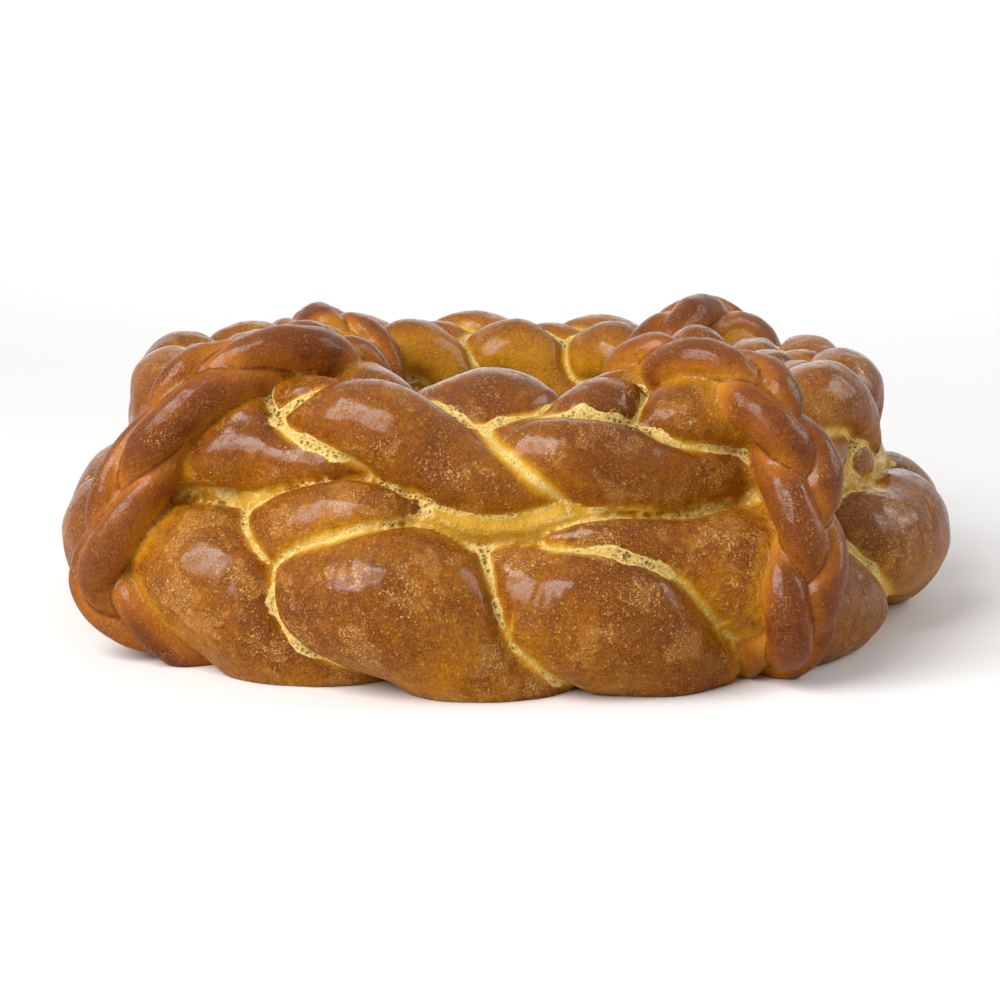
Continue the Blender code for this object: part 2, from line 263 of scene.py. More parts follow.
# %% [markdown]
# ## From lines to one skin of dough
#
# Each strand becomes a round tube. The tubes overlap, and the dough between them has risen into
# every gap, so a few plain bodies fill the middle of the sections, the waist and the sole. A
# voxel remesh then takes the outside of all of them as one closed skin. It is the right tool
# here because the crossing tubes have no tidy common faces, and it loses only detail finer than
# its voxel, which is put back afterwards.

# %% Tubes and fillings
SIDES = 24
VOXEL = 0.0012
WAIST_FILL = (0.1340, 0.0550, 0.0165, 0.0120)
SOLE_INNER, SOLE_OUTER, SOLE_HEIGHT = 0.112, 0.154, 0.016


def tube(path, thick, closed):
    count = len(path)
    along = np.roll(path, -1, 0) - np.roll(path, 1, 0) if closed else np.gradient(path, axis=0)
    along = unit(along)
    side = unit(np.cross(along, (0.0, 0.0, 1.0)))
    rise = np.cross(side, along)
    turn = np.linspace(0.0, 2.0 * math.pi, SIDES, endpoint=False)
    spokes = side[:, None] * np.cos(turn)[:, None] + rise[:, None] * np.sin(turn)[:, None]
    verts = (path[:, None] + thick[:, None, None] * spokes).reshape(-1, 3)
    faces = grid_faces(count, SIDES, closed)
    if not closed:
        faces += [tuple(range(SIDES))[::-1], tuple(range((count - 1) * SIDES, count * SIDES))]
    return verts, faces


def grid_faces(rows, columns, closed):
    """Faces between rows of points; each row closes on itself."""
    faces = []
    for i in range(rows if closed else rows - 1):
        a, b = i * columns, ((i + 1) % rows) * columns
        for j in range(columns):
            k = (j + 1) % columns
            faces.append((a + j, a + k, b + k, b + j))
    return faces


def turned(outline):
    outline = np.array(outline)
    angles = np.linspace(0.0, 360.0, LOBES * STEPS_PER_LOBE, endpoint=False)
    rows = [on_ring(outline[:, 0], np.full(len(outline), a), outline[:, 1]) for a in angles]
    return np.vstack(rows), grid_faces(len(rows), len(outline), True)


def filling(radius, height, half_width, half_height):
    turn = np.linspace(0.0, 2.0 * math.pi, SIDES, endpoint=False)
    return turned([(radius + half_width * math.cos(t), height + half_height * math.sin(t))
                   for t in turn])


FILLINGS = [WAIST_FILL] + [(ring.radius, ring.height - ring.sag / 2.0, ring.core_width,
                            ring.core_height) for ring in (LOWER, UPPER)]


# %% One closed skin
def joined(name, bodies):
    verts, faces, first = [], [], 0
    for body_verts, body_faces in bodies:
        verts.append(body_verts)
        faces.extend(tuple(first + i for i in face) for face in body_faces)
        first += len(body_verts)
    mesh = bpy.data.meshes.new(name)
    mesh.from_pydata(np.vstack(verts).tolist(), [], faces)
    obj = bpy.data.objects.new(name, mesh)
    bpy.context.scene.collection.objects.link(obj)
    return obj


def modified_mesh(obj):
    """The mesh that the object's modifiers make of it; the object itself goes."""
    graph = bpy.context.evaluated_depsgraph_get()
    mesh = bpy.data.meshes.new_from_object(obj.evaluated_get(graph))
    bpy.data.objects.remove(obj, do_unlink=True)
    return mesh


sole = [(SOLE_OUTER, -VOXEL), (SOLE_OUTER, SOLE_HEIGHT), (SOLE_INNER, SOLE_HEIGHT),
        (SOLE_INNER, -VOXEL)]
dough = [tube(path, thick, True) for path, thick in lower_strands + upper_strands]
dough += [tube(path, thick, False) for path, thick in strap_strands + strap_beds + shoulder_strands]
dough += [filling(*sizes) for sizes in FILLINGS] + [turned(sole)]
raw = joined("raw_dough", dough)
remesh = raw.modifiers.new("skin", "REMESH")
remesh.mode = "VOXEL"
remesh.voxel_size = 2.0 * VOXEL
skin = modified_mesh(raw)


def mesh_points(mesh):
    points = np.empty(3 * len(mesh.vertices), np.float64)
    mesh.vertices.foreach_get("co", points)
    return points.reshape(-1, 3)


def mesh_quads(mesh):
    corners = np.empty(4 * len(mesh.polygons), np.int32)
    mesh.polygons.foreach_get("vertices", corners)
    return corners.reshape(-1, 4)


points, quads = mesh_points(skin), mesh_quads(skin)
print("skin:", len(points), "points,", len(quads), "quads")

# %% [markdown]
# ## Which strand is this?
#
# Every later step asks the same questions at each point of the skin: which strand is it on, how
# far off is the next strand, and where along and around the strand is it? Both plaits are
# tables of points in order of their angle, so only the table's rows near the point's own angle
# have to be tried. A crease is where the two nearest strands are equally far away.

# %% Tables of strands
Table = namedtuple("Table", "path thick run side rise along closed")


def strand_table(path, thick, closed):
    along = np.roll(path, -1, 0) - np.roll(path, 1, 0) if closed else np.gradient(path, axis=0)
    along = unit(along)
    side = unit(np.cross(along, (0.0, 0.0, 1.0)))
    steps = np.linalg.norm(np.diff(path, axis=0), axis=1)
    run = np.concatenate([[0.0], np.cumsum(steps)])
    return Table(path, thick, run, side, np.cross(side, along), along, closed)


def nearest_rows(points, table, rows):
    """At the nearest of the given rows: distance to the tube, length along it, angle round it."""
    count = len(table.path)
    rows = rows % count if table.closed else np.clip(rows, 0, count - 1)
    gap = points[:, None] - table.path[rows]
    best = np.argmin(np.einsum("ijk,ijk->ij", gap, gap), axis=1)
    pick = np.arange(len(points))
    row, offset = rows[pick, best], gap[pick, best]
    slide = np.einsum("ij,ij->i", offset, table.along[row])
    other = row + np.where(slide > 0.0, 1, -1)
    other = other % count if table.closed else np.clip(other, 0, count - 1)
    chord = table.path[other] - table.path[row]
    length = np.einsum("ij,ij->i", chord, chord)
    part = np.einsum("ij,ij->i", offset, chord) / np.maximum(length, 1e-12)
    part = np.clip(part, 0.0, 1.0)
    flat = offset - part[:, None] * chord
    thick = table.thick[row] + part * (table.thick[other] - table.thick[row])
    distance = np.linalg.norm(flat, axis=1) - thick
    run = table.run[row] + np.sign(slide) * part * np.sqrt(length)
    rise, side = (np.einsum("ij,ij->i", flat, axis[row]) for axis in (table.rise, table.side))
    return distance, run, np.arctan2(rise - side, rise + side), row


def nearest_in_parts(points, table, rows, part=30000):
    pieces = [nearest_rows(points[i:i + part], table, rows[i:i + part])
              for i in range(0, len(points), part)]
    return [np.concatenate(column) for column in zip(*pieces)]


# %% Distances to every strand
FAR = 0.1
RING_WINDOW = 22
STRAP_SPREAD, SHOULDER_SPREAD = 22.0, 24.0
ring_tables = [[strand_table(*strand, True) for strand in strands]
               for strands in (lower_strands, upper_strands)]
strap_tables = [strand_table(*strand, False) for strand in strap_strands]
shoulder_tables = [strand_table(*strand, False) for strand in shoulder_strands]


def ring_angle(points):
    return np.degrees(np.arctan2(points[:, 0], -points[:, 1]))


def ring_fields(points, ring, lobes, tables):
    """For each pass of each strand: distance, length along, angle round and table row."""
    places = np.arange(-1.0 * LOBES, 2.0 * LOBES, 0.05)
    lobe = np.interp(ring_angle(points), lobe_angles(ring, lobes, places), places)
    reach = np.arange(-RING_WINDOW, RING_WINDOW + 1)
    found = []
    for (start, turns), table in zip(ring.loops, tables):
        for turn in range(turns):
            row = np.round((lobe + LOBES * turn - start + 1.0) * STEPS_PER_LOBE).astype(int)
            found.append(nearest_in_parts(points, table, row[:, None] + reach))
    return found


def open_fields(points, tables, middles, spread):
    """The same fields for strands with two ends, worked out only near their own angle."""
    found = []
    angle = ring_angle(points)
    for table, middle in zip(tables, middles):
        near = np.abs((angle - middle + 180.0) % 360.0 - 180.0) < spread
        fields = [np.full(len(points), FAR), np.zeros(len(points)), np.zeros(len(points)),
                  np.zeros(len(points), int)]
        rows = np.arange(0, len(table.path), 2)[None, :]
        rows = np.repeat(rows, int(near.sum()), axis=0)
        for field, value in zip(fields, nearest_in_parts(points[near], table, rows, 8000)):
            field[near] = value
        found.append(fields)
    return found


def all_fields(points):
    """Stacked fields of every pass: the lower ring's first, then the upper ring's and straps'."""
    found = ring_fields(points, LOWER, LOWER_LOBES, ring_tables[0])
    found += ring_fields(points, UPPER, UPPER_LOBES, ring_tables[1])
    found += open_fields(points, shoulder_tables, [s.angle for s in SHOULDERS], SHOULDER_SPREAD)
    found += open_fields(points, strap_tables, [s.angles[2] for s in STRAPS for _ in range(3)],
                         STRAP_SPREAD)
    return [np.stack(column) for column in zip(*found)]


TIER_PASSES = LOWER.strands + UPPER.strands
RING_PASSES = TIER_PASSES + len(SHOULDERS)
distance = all_fields(points)[0]
print("mean distance of the skin from its strand, mm:",
      round(1000 * float(np.abs(distance.min(axis=0)).mean()), 2))

# %% [markdown]
# ## Soft creases
#
# Dough strands swell against each other and leave a soft furrow between them. The distance to
# the nearer strand is therefore pushed up where a second strand is nearly as near, which presses
# a rounded groove into the skin: deep and wide between the fat strands of the rings, fine
# between those of a strap. Where dough flows together, as under a shoulder or over a filling,
# the smooth minimum of two distances does the opposite and fills the corner. The points are
# moved along their own normals until the distance to this soft body is zero.

# %% Smooth union of the dough
SOFT_FILL, SOFT_JOIN = 0.0030, 0.0100
RING_CREASE, RING_REACH = 0.0024, 0.0055
STRAP_CREASE, STRAP_REACH = 0.0014, 0.0040
WAIST_CREASE, WAIST_REACH = 0.0012, 0.0040
EDGE_CREASE, EDGE_REACH = 0.0012, 0.0030


def creased(near, far, depth, reach):
    """Distance to the nearer of two bodies, pressed in where the other is nearly as near."""
    return near + depth * (1.0 - smooth((far - near) / reach))


def smooth(part):
    part = np.clip(part, 0.0, 1.0)
    return part * part * (3.0 - 2.0 * part)


def soft_min(a, b, width):
    mix = np.maximum(width - np.abs(a - b), 0.0) / width
    return np.minimum(a, b) - width * mix * mix / 4.0


def fill_distance(points, sizes):
    middle, height, half_width, half_height = sizes
    across = (np.hypot(points[:, 0], points[:, 1]) - middle) / half_width
    up = (points[:, 2] - height) / half_height
    return (np.hypot(across, up) - 1.0) * half_height


def merged(distance):
    """A shoulder that is part of a strand has no crease against it."""
    distance = distance.copy()
    for number, shoulder in enumerate(SHOULDERS, TIER_PASSES):
        if shoulder.joins is not None:
            both = soft_min(distance[shoulder.joins], distance[number], SOFT_JOIN)
            distance[shoulder.joins] = both
            distance[number] = FAR
    return distance


def dough_layers(distance, points):
    """Distances to the strands, to the waist and to the straps, and the gaps at their creases."""
    distance = merged(distance)
    ring = np.partition(distance[:RING_PASSES], 1, axis=0)
    strap = np.partition(distance[RING_PASSES:], 1, axis=0)
    ring_gap = (ring[1] - ring[0]) * np.where(np.argmin(distance[:RING_PASSES], axis=0)
                                              < TIER_PASSES, 1.0, SHOULDER_GAP)
    rings = creased(ring[0], ring[0] + ring_gap, RING_CREASE, RING_REACH)
    for sizes in FILLINGS[1:]:
        rings = soft_min(rings, fill_distance(points, sizes), SOFT_FILL)
    waist = fill_distance(points, WAIST_FILL)
    straps = creased(strap[0], strap[1], STRAP_CREASE, STRAP_REACH)
    return rings, waist, straps, ring_gap, strap[1] - strap[0]


def dough_distance(distance, points):
    rings, waist, straps, _, _ = dough_layers(distance, points)
    rings = creased(np.minimum(rings, waist), np.maximum(rings, waist), WAIST_CREASE, WAIST_REACH)
    near, far = np.minimum(rings, straps), np.maximum(rings, straps)
    return creased(near, far, EDGE_CREASE, EDGE_REACH)


def point_normals(points, quads):
    a, b, c, d = (points[quads[:, i]] for i in range(4))
    face = np.cross(c - a, d - b)
    normals = np.zeros_like(points)
    for i in range(4):
        for axis in range(3):
            normals[:, axis] += np.bincount(quads[:, i], face[:, axis], len(points))
    return unit(normals)


def settled(points, quads, steps, limit):
    """Moves the points along their normals until they lie on the dough's own surface."""
    for step in range(steps):
        distance = all_fields(points)[0]
        move = np.clip(dough_distance(distance, points), -limit, limit)
        points = points - point_normals(points, quads) * move[:, None]
    print("last move, mm: mean", round(1000 * float(np.abs(move).mean()), 3))
    return points


points = settled(points, quads, 2, 0.003)
skin.vertices.foreach_set("co", points.ravel())
rough = bpy.data.objects.new("rough_dough", skin)
bpy.context.scene.collection.objects.link(rough)
relax = rough.modifiers.new("relax", "SMOOTH")
relax.factor, relax.iterations = 0.5, 3
remesh = rough.modifiers.new("skin", "REMESH")
remesh.mode = "VOXEL"
remesh.voxel_size = VOXEL
skin = modified_mesh(rough)
points, quads = mesh_points(skin), mesh_quads(skin)
points = settled(points, quads, 2, 0.002)


# %% [markdown]
# ## What the oven does
#
# The maps below are worked out once for every point. The gap tells how near a crease is. It is
# divided by its own slope along the skin, so a tear keeps an even width in millimetres whether
# two strands meet steeply or lie almost flush. The crust colours fastest where it stands out
# into the hot air, so a point is baked more the farther it is from a crease and the more it
# faces up or out. Where two strands meet, the rising dough pulls the thin skin apart and the
# pale crumb shows. Straps are tight and do not tear. The glaze map says how much egg wash a
# spot got: a brush from above coats the tops well and the sides hardly at all.

# %% Maps on the skin
NARROW, WIDE, NO_TEAR = 0.0014, 0.0048, -0.0050
BAKE_REACH, WAIST_BAKE_REACH = 0.0042, 0.0020


def relaxed(points, quads, weight):
    """Each point moves towards the middle of its neighbours by its own weight."""
    total = np.zeros_like(points)
    count = np.zeros(len(points))
    for i in range(4):
        here = quads[:, i]
        for other in (quads[:, (i + 1) % 4], quads[:, (i + 3) % 4]):
            count += np.bincount(here, minlength=len(points))
            for axis in range(3):
                total[:, axis] += np.bincount(here, points[other, axis], len(points))
    middle = total / np.maximum(count, 1.0)[:, None]
    return points + weight[:, None] * (middle - points)


def slope_on(points, quads, values):
    """How fast a value changes along the skin, the steepest found next to each point."""
    a, b, c, d = (quads[:, i] for i in range(4))
    steep = np.hypot((values[a] - values[c]) / np.linalg.norm(points[a] - points[c], axis=1),
                     (values[b] - values[d]) / np.linalg.norm(points[b] - points[d], axis=1))
    slope = np.zeros(len(points))
    for corner in (a, b, c, d):
        np.maximum.at(slope, corner, steep)
    return slope


def noise_at(points, size, seed):
    shift = Vector((seed * 7.31, seed * 3.17, seed * 5.71))
    return np.array([noise.noise(Vector(p) / size + shift) for p in points])


distance, run, round_angle, row = all_fields(points)
rings, waist, straps, ring_gap, strap_gap = dough_layers(distance, points)
on_strap = straps < np.minimum(rings, waist)
edge_gap = np.abs(straps - np.minimum(rings, waist))
waist_gap = np.abs(rings - waist)
ring_gap = ring_gap / np.clip(slope_on(points, quads, ring_gap), 0.5, 1.6)
waist_gap = waist_gap / np.clip(slope_on(points, quads, waist_gap), 0.5, 1.6)
gap = np.where(on_strap, strap_gap, np.minimum(ring_gap, waist_gap))
for step in range(3):
    points = relaxed(points, quads, 0.5 * (1.0 - smooth(np.minimum(gap, edge_gap) / 0.005)))
normals = point_normals(points, quads)
outward = np.stack([np.sin(np.radians(ring_angle(points))), -np.cos(np.radians(ring_angle(points))),
                    0.0 * gap], -1)
facing = np.clip(0.35 * np.einsum("ij,ij->i", normals, outward) + 0.35 * normals[:, 2] + 0.55,
                 0.0, 1.0)
broad = noise_at(points, 0.030, 1)
middling = noise_at(points, 0.009, 2)
in_waist = (waist < rings) & ~on_strap
bake = smooth(np.minimum(ring_gap / BAKE_REACH, waist_gap / WAIST_BAKE_REACH))
bake = bake * (0.45 + 0.50 * facing) + 0.22 * broad
bake = np.where(on_strap, 0.60 + 0.4 * smooth(strap_gap / 0.006) * (0.4 + 0.6 * facing)
                + 0.25 * broad, bake)
bake = np.where(in_waist, 0.22 + 0.2 * broad, bake)
bake = bake * (0.45 + 0.55 * smooth(edge_gap / 0.008))
tear = (NARROW + (WIDE - NARROW) * smooth(0.5 + 1.6 * broad)) * (0.75 + 0.8 * middling)
tear = np.where(in_waist, 0.4, 1.0) * tear * smooth((normals[:, 2] + 0.75) / 0.5)
tear = np.where(on_strap, NO_TEAR, tear)
print("bake from", round(float(bake.min()), 2), "to", round(float(bake.max()), 2))

# %% Lumps and crumb
torn = smooth((tear - gap) / 0.0012)
rough = noise_at(points, 0.0028, 3)
lumps = 0.0012 * broad + 0.0005 * middling
points = points + normals * (lumps + 0.0007 * torn * rough)[:, None]
points[:, 2] = np.maximum(points[:, 2], 0.0)

# %% Pieces
FRONT, BACK = 0, 1
piece_names = ["lower_plait_front", "lower_plait_back", "upper_plait_front", "upper_plait_back"]
piece_names += ["strap_" + strap.name.replace(" ", "_") for strap in STRAPS]
order = merged(distance)
ring_owner = np.argmin(order[:RING_PASSES], axis=0)
lower_shoulders = [TIER_PASSES + i for i, s in enumerate(SHOULDERS) if s.height < 0.062]
is_lower = (ring_owner < LOWER.strands) | np.isin(ring_owner, lower_shoulders)
is_lower = np.where(in_waist, points[:, 2] < 0.057, is_lower)
strap_owner = np.argmin(order[RING_PASSES:], axis=0)
half = np.where(points[:, 1] < 0.0, FRONT, BACK)
piece_of = np.where(on_strap, 4 + strap_owner // 3, np.where(is_lower, half, 2 + half))
nearest_pass = np.argmin(distance[:RING_PASSES], axis=0)
owner = np.where(on_strap, RING_PASSES + strap_owner, nearest_pass)
pick = np.arange(len(points))
length_along, length_round = run[owner, pick], round_angle[owner, pick]
length_round = length_round * np.where(on_strap, STRAPS[0].strand, 0.020)
face_piece = piece_of[quads].max(axis=1)
print({name: int((face_piece == i).sum()) for i, name in enumerate(piece_names)}, len(quads))
normals = point_normals(points, quads)
glaze = np.clip(0.15 + 0.95 * normals[:, 2], 0.0, 1.0)


def add_map(mesh, name, values):
    mesh.attributes.new(name, "FLOAT", "POINT").data.foreach_set("value", values.astype(np.float32))


def make_piece(name, faces, material):
    used, corners = np.unique(faces, return_inverse=True)
    mesh = bpy.data.meshes.new(name)
    mesh.from_pydata(points[used].tolist(), [], corners.reshape(-1, 4).tolist())
    mesh.polygons.foreach_set("use_smooth", np.ones(len(mesh.polygons), bool))
    mesh.normals_split_custom_set_from_vertices(normals[used].tolist())
    for field, values in (("gap", gap), ("tear", tear), ("bake", bake), ("glaze", glaze),
                          ("along", length_along), ("around", length_round)):
        add_map(mesh, field, values[used])
    mesh.materials.append(material)
    piece = bpy.data.objects.new(name, mesh)
    bpy.context.scene.collection.objects.link(piece)
    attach(piece, "root")
    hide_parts("braided_loaf")
    return piece


# %% [markdown]
# ## Shader arithmetic
#
# A crust is a stack of simple decisions, such as how brown, how torn and how glossy. They are
# easiest to read as sums, so this small class lets node sockets be added and multiplied.

# %% Shader arithmetic
class Shade:
    def __init__(self, tree, socket):
        self.tree, self.socket = tree, socket

    def maths(self, operation, first, second=None, clamp=False):
        node = self.tree.nodes.new("ShaderNodeMath")
        node.operation, node.use_clamp = operation, clamp
        for place, value in enumerate((first, second)):
            if isinstance(value, Shade):
                self.tree.links.new(value.socket, node.inputs[place])
            elif value is not None:
                node.inputs[place].default_value = value
        return Shade(self.tree, node.outputs[0])

    def __add__(self, other):
        return self.maths("ADD", self, other)

    def __radd__(self, other):
        return self.maths("ADD", other, self)

    def __sub__(self, other):
        return self.maths("SUBTRACT", self, other)

    def __rsub__(self, other):
        return self.maths("SUBTRACT", other, self)

    def __mul__(self, other):
        return self.maths("MULTIPLY", self, other)

    def __rmul__(self, other):
        return self.maths("MULTIPLY", other, self)

    def __truediv__(self, other):
        return self.maths("DIVIDE", self, other)

    def __pow__(self, other):
        return self.maths("POWER", self, other)

    def clamped(self):
        return self.maths("ADD", self, 0.0, clamp=True)

    def steps(self, low, high):
        """0 below low, 1 above high and smooth between; low and high may be sockets."""
        return Paint.node_in(self.tree, "ShaderNodeMapRange",
                             dict(interpolation_type="SMOOTHSTEP"),
                             {"Value": self, "From Min": low, "From Max": high})


class Paint:
    """A material and the few calls that fill it."""

    def __init__(self, name):
        self.material = bpy.data.materials.new(name)
        self.material.use_nodes = True
        self.tree = self.material.node_tree
        self.surface = self.tree.nodes["Principled BSDF"]

    @staticmethod
    def node_in(tree, kind, settings, inputs, output=0):
        node = tree.nodes.new(kind)
        for name, value in settings.items():
            setattr(node, name, value)
        for name, value in inputs.items():
            if isinstance(value, Shade):
                tree.links.new(value.socket, node.inputs[name])
            else:
                node.inputs[name].default_value = value
        return Shade(tree, node.outputs[output])

    def node(self, kind, settings=None, output=0, **inputs):
        return self.node_in(self.tree, kind, settings or {}, inputs, output)

    def map(self, name):
        return self.node("ShaderNodeAttribute", {"attribute_name": name}, output="Fac")

    def vector(self, x, y, z):
        return self.node("ShaderNodeCombineXYZ", X=x, Y=y, Z=z)

    def noise(self, place, size, detail=2.0, roughness=0.5):
        return self.node_in(self.tree, "ShaderNodeTexNoise", {},
                            {"Vector": place, "Scale": 1.0 / size, "Detail": detail,
                             "Roughness": roughness}, "Fac")

    def cells(self, place, size, feature="F1", randomness=1.0):
        return self.node_in(self.tree, "ShaderNodeTexVoronoi", {"feature": feature},
                            {"Vector": place, "Scale": 1.0 / size, "Randomness": randomness},
                            "Distance")

    def warped(self, place, size, amount):
        """The place moved about by a slow noise, so that cells lose their straight edges."""
        push = self.node_in(self.tree, "ShaderNodeTexNoise", {}, {"Vector": place, "Scale": 1.0 / size},
                            "Color")
        node = self.tree.nodes.new("ShaderNodeVectorMath")
        node.operation = "MULTIPLY_ADD"
        self.tree.links.new(push.socket, node.inputs[0])
        node.inputs[1].default_value = (amount,) * 3
        self.tree.links.new(place.socket, node.inputs[2])
        return Shade(self.tree, node.outputs[0])

    def ramp(self, value, stops):
        node = self.tree.nodes.new("ShaderNodeValToRGB")
        ramp = node.color_ramp
        while len(ramp.elements) < len(stops):
            ramp.elements.new(0.5)
        for element, (place, colour) in zip(ramp.elements, stops):
            element.position, element.color = place, colour
        self.tree.links.new(value.socket, node.inputs[0])
        return Shade(self.tree, node.outputs[0])

    def mix(self, factor, first, second):
        node = self.tree.nodes.new("ShaderNodeMix")
        node.data_type = "RGBA"
        for place, value in ((0, factor), (6, first), (7, second)):
            if isinstance(value, Shade):
                self.tree.links.new(value.socket, node.inputs[place])
            else:
                node.inputs[place].default_value = value
        return Shade(self.tree, node.outputs[2])

    def set(self, **values):
        for name, value in values.items():
            socket = self.surface.inputs[name.replace("_", " ")]
            if isinstance(value, Shade):
                self.tree.links.new(value.socket, socket)
            else:
                socket.default_value = value


def paint_colour(red, green, blue):
    """A colour given as it looks on a screen, 0 to 255, turned into light."""
    parts = [c / 255.0 for c in (red, green, blue)]
    return tuple(c / 12.92 if c < 0.04045 else ((c + 0.055) / 1.055) ** 2.4 for c in parts) + (1.0,)


# %% [markdown]
# ## The crust
#
# From least to most baked the crust runs from cream through gold and amber to chestnut, and the
# straps, thin and close to the heat, bake a redder brown. Several noises of different size
# mottle it: blotches of a centimetre, dimples of a few millimetres and a grit finer than one.
# The grit grows with the baking, so pale dough stays smooth. Crumb in the tears is pale, with
# small pits along the middle whose shade is painted in a dark colour. Little blisters of steam
# are paler than the crust round them, and rough patches of the crust are painted paler as a
# sheen. A dark line of painted shade runs down the narrow creases of the straps. The egg wash
# is a clear coat, broken up where the crust under it is rough.

# %% Crust material
CRUST_STOPS = (
    (0.00, paint_colour(212, 174, 84)),
    (0.16, paint_colour(202, 154, 46)),
    (0.36, paint_colour(188, 130, 16)),
    (0.60, paint_colour(165, 101, 4)),
    (0.80, paint_colour(140, 76, 0)),
    (1.00, paint_colour(106, 49, 4)),
)
STRAP_STOPS = (
    (0.00, paint_colour(206, 160, 66)),
    (0.30, paint_colour(186, 122, 28)),
    (0.60, paint_colour(158, 90, 20)),
    (0.80, paint_colour(134, 70, 18)),
    (1.00, paint_colour(104, 48, 16)),
)
CRUMB, PALE_CRUMB = paint_colour(204, 168, 86), paint_colour(236, 214, 140)
# Painted shade: the dark colour given to the small pits in the crumb.
PAINTED_PIT_SHADE = paint_colour(120, 98, 50)
# Painted sheen: the pale colour of the rough patches of crust.
PAINTED_SHEEN = paint_colour(206, 156, 92)
BLISTER = paint_colour(232, 182, 92)


def crust(name, stops, blisters, wrinkle, gloss):
    paint = Paint(name)
    place = paint.node("ShaderNodeTexCoord", output="Object")
    gap, tear, bake, glaze = (paint.map(field) for field in ("gap", "tear", "bake", "glaze"))
    along, around = paint.map("along"), paint.map("around")
    bent_place = paint.warped(place, 0.006, 0.006)
    fine = paint.noise(place, 0.0011, 3.0, 0.6)
    speckle = paint.noise(bent_place, 0.0006, 1.5)
    dimples = paint.noise(place, 0.0036, 2.0)
    blotch = paint.noise(place, 0.012, 3.0, 0.55)
    ragged = gap + (fine - 0.5) * 0.0020
    torn = (tear - ragged).steps(0.0, 0.0006)
    whole = 1.0 - torn
    middle = (tear * 0.75 - gap).steps(0.0, 0.0008)
    # The pits are pressed in by the bump and also painted darker, as their shade.
    pits = (1.0 - paint.cells(place, 0.0015).steps(0.20, 0.50)) * blotch.steps(0.36, 0.60) * middle
    mottle = (dimples - 0.5) * 0.40 + (fine - 0.5) * 0.65 + (speckle - 0.5) * 1.20
    grit = bake.steps(0.10, 0.65) * (0.25 + 0.75 * blisters)
    brown = (bake + (blotch - 0.5) * 0.45 + mottle * grit).clamped()
    colour = paint.ramp(brown, stops)
    # Painted sheen: rough patches of well-baked crust are made paler and given more pale flecks; they are
    # rougher too.
    sheen_patches = paint.noise(bent_place, 0.016, 3.0, 0.6).steps(0.54, 0.58) * bake.steps(0.45, 0.75)
    colour = paint.mix(sheen_patches * speckle.steps(0.42, 0.56) * (0.30 * blisters), colour, PAINTED_SHEEN)
    grain = paint.warped(place, 0.004, 0.003)
    cell = paint.cells(grain, 0.0014)
    patches = paint.noise(place, 0.012, 2.0).steps(0.60 - 0.30 * blisters, 0.85 - 0.30 * blisters)
    chosen = paint.noise(place, 0.0016, 0.0).steps(0.48, 0.58)
    spots = (1.0 - cell.steps(0.12, 0.38)) * chosen * patches * whole
    flecks = speckle.steps(0.55, 0.66) * (0.4 + 0.6 * patches) * whole
    pores = (1.0 - speckle.steps(0.32, 0.43)) * whole
    colour = paint.mix(flecks * (0.34 + sheen_patches * 0.30), colour, BLISTER)
    colour = paint.mix(spots * 0.60, colour, BLISTER)
    bent = paint.warped(place, 0.010, 0.012)
    crack = 1.0 - paint.cells(bent, 0.026, "DISTANCE_TO_EDGE").steps(0.002, 0.009)
    crack = crack * paint.noise(place, 0.022).steps(0.52, 0.60) * bake.steps(0.4, 0.7) * whole
    # Painted shade: a dark line down the narrow creases between the strands of a strap, which do not
    # tear.
    line = (1.0 - gap.steps(0.0002, 0.0011)) * (tear * -1000.0).clamped()
    colour = paint.mix(crack * 0.45 * blisters, colour, paint_colour(90, 44, 12))
    colour = paint.mix(line * 0.75, colour, paint_colour(92, 44, 14))
    crumb = paint.mix(fine.steps(0.30, 0.62) * (1.0 - 0.5 * middle), CRUMB, PALE_CRUMB)
    colour = paint.mix(torn, colour, paint.mix(pits * 0.85, crumb, PAINTED_PIT_SHADE))
    skin_rough = 0.42 + (fine - 0.5) * 0.30 + sheen_patches * 0.08
    streaks = paint.noise(paint.vector(along * 0.25, around, 0.0), 0.0012, 2.0)
    height = spots * 0.00030 + flecks * 0.00012 - pores * 0.00012 - crack * 0.00020
    height = height + (fine - 0.5) * 0.00045 + (streaks - 0.5) * (0.00020 * wrinkle)
    height = height + (dimples - 0.5) * 0.00060 + torn * (fine - 0.5) * 0.0006
    height = height - torn * pits * 0.0009
    bump = paint.node("ShaderNodeBump", {}, Height=height, Strength=1.0, Distance=1.0)
    film = (dimples * 0.5 + fine * 0.5).steps(0.42, 0.54) * 0.7 + 0.3
    paint.set(Base_Color=colour, Roughness=skin_rough * whole + torn * 0.85,
              Coat_Weight=whole * glaze * film * gloss, Coat_Roughness=0.15, Specular_IOR_Level=0.16,
              Specular_Tint=(1.0, 0.86, 0.58, 1.0), Normal=bump)
    return paint.material


lower_crust = crust("lower_crust", CRUST_STOPS, 1.0, 0.4, 0.90)
upper_crust = crust("upper_crust", CRUST_STOPS, 0.75, 0.5, 1.0)
strap_crust = crust("strap_crust", STRAP_STOPS, 0.10, 1.0, 0.75)
crusts = [lower_crust] * 2 + [upper_crust] * 2 + [strap_crust] * 4
for number, (name, material) in enumerate(zip(piece_names, crusts)):
    make_piece(name, quads[face_piece == number], material)

# %% [markdown]
# ## The studio
#
# A pale sweep without an edge stands for the table, so no horizon line cuts the picture. One big
# soft light high on the left gives the broad highlights on the glaze.

# %% Floor, light and camera
VIEW_HEIGHT, VIEW_DISTANCE = 13.7, 0.818
AIM = Vector((-0.002, 0.0, 0.0342))


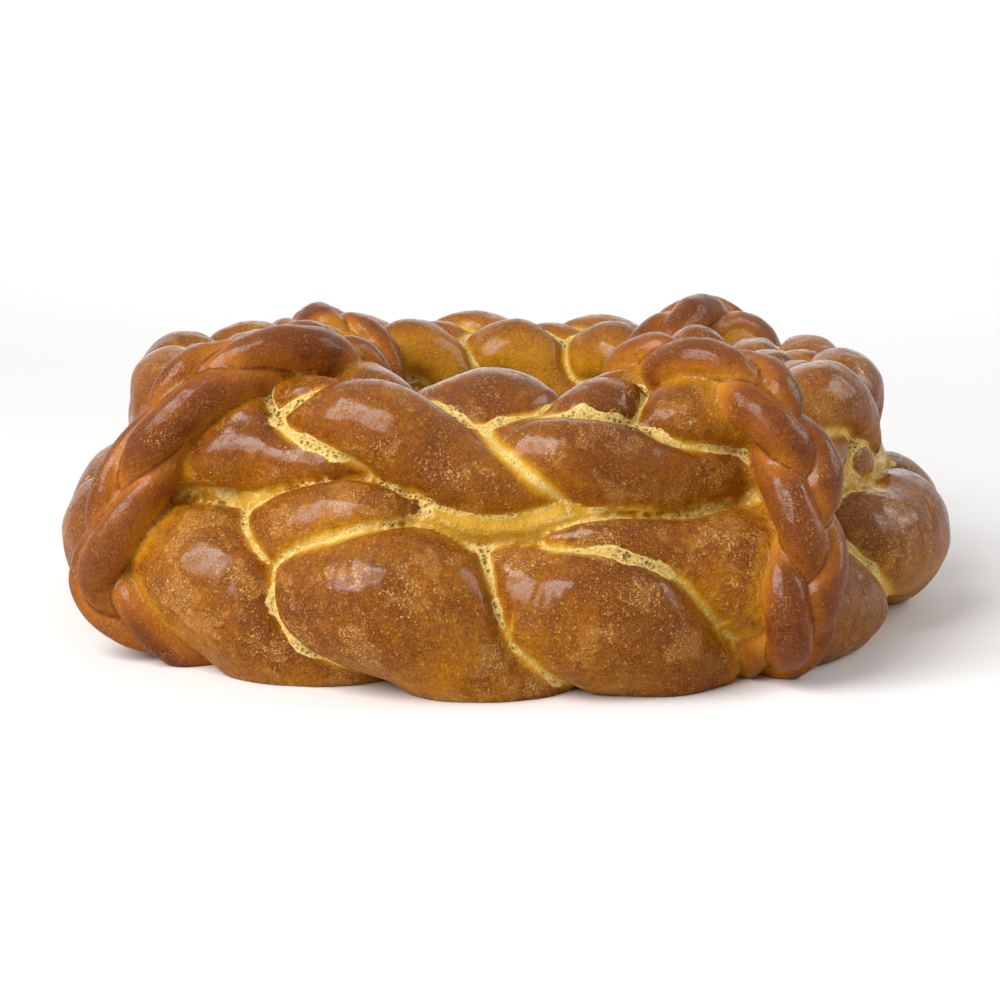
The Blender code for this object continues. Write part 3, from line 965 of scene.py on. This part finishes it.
def sweep(width, near, bend, rise):
    """A floor that curves up into a back wall."""
    profile = [(-near, 0.0)]
    profile += [(bend * (math.sin(a)) + near * 0.6, bend * (1.0 - math.cos(a)))
                for a in np.linspace(0.0, math.pi / 2.0, 24)]
    profile += [(bend + near * 0.6, rise)]
    verts = [(x, y, z) for y, z in profile for x in (-width, width)]
    faces = [(2 * i, 2 * i + 1, 2 * i + 3, 2 * i + 2) for i in range(len(profile) - 1)]
    mesh = bpy.data.meshes.new("floor")
    mesh.from_pydata(verts, [], faces)
    floor = bpy.data.objects.new("floor", mesh)
    bpy.context.scene.collection.objects.link(floor)
    for face in mesh.polygons:
        face.use_smooth = True
    return floor


def area_light(name, place, size, watts, colour):
    data = bpy.data.lights.new(name, "AREA")
    data.size, data.energy, data.color = size, watts, colour
    light = bpy.data.objects.new(name, data)
    bpy.context.scene.collection.objects.link(light)
    light.location = place
    light.rotation_euler = (Vector((0.0, 0.0, 0.05)) - light.location).to_track_quat("-Z", "Y").to_euler()
    return light


floor = sweep(6.0, 2.5, 1.5, 4.0)
floor_paint = Paint("floor_paint")
floor_paint.set(Base_Color=(0.86, 0.86, 0.86, 1.0), Roughness=0.9)
floor.data.materials.append(floor_paint.material)
camera_data = bpy.data.cameras.new("camera")
camera_data.lens = 72.1
camera = bpy.data.objects.new("camera", camera_data)
bpy.context.scene.collection.objects.link(camera)
tilt = math.radians(VIEW_HEIGHT)
camera.location = (0.0, -VIEW_DISTANCE * math.cos(tilt), VIEW_DISTANCE * math.sin(tilt))
camera.rotation_euler = (AIM - camera.location).to_track_quat("-Z", "Y").to_euler()
bpy.context.scene.camera = camera
world = bpy.data.worlds.new("studio")
world.use_nodes = True
world.node_tree.nodes["Background"].inputs["Color"].default_value = (1.0, 1.0, 1.0, 1.0)
world.node_tree.nodes["Background"].inputs["Strength"].default_value = 0.34
bpy.context.scene.world = world
area_light("window", (-0.80, -0.75, 0.95), 1.0, 27.0, (1.0, 0.97, 0.96))
area_light("fill", (1.3, 0.1, 0.8), 0.9, 9.0, (1.0, 1.0, 1.0))
backdrop_light = area_light("backdrop", (0.0, 1.2, 2.2), 2.0, 48.0, (1.0, 1.0, 1.0))
backdrop_light.rotation_euler = (math.radians(68.0), 0.0, 0.0)
bpy.context.scene.view_settings.view_transform = "Standard"
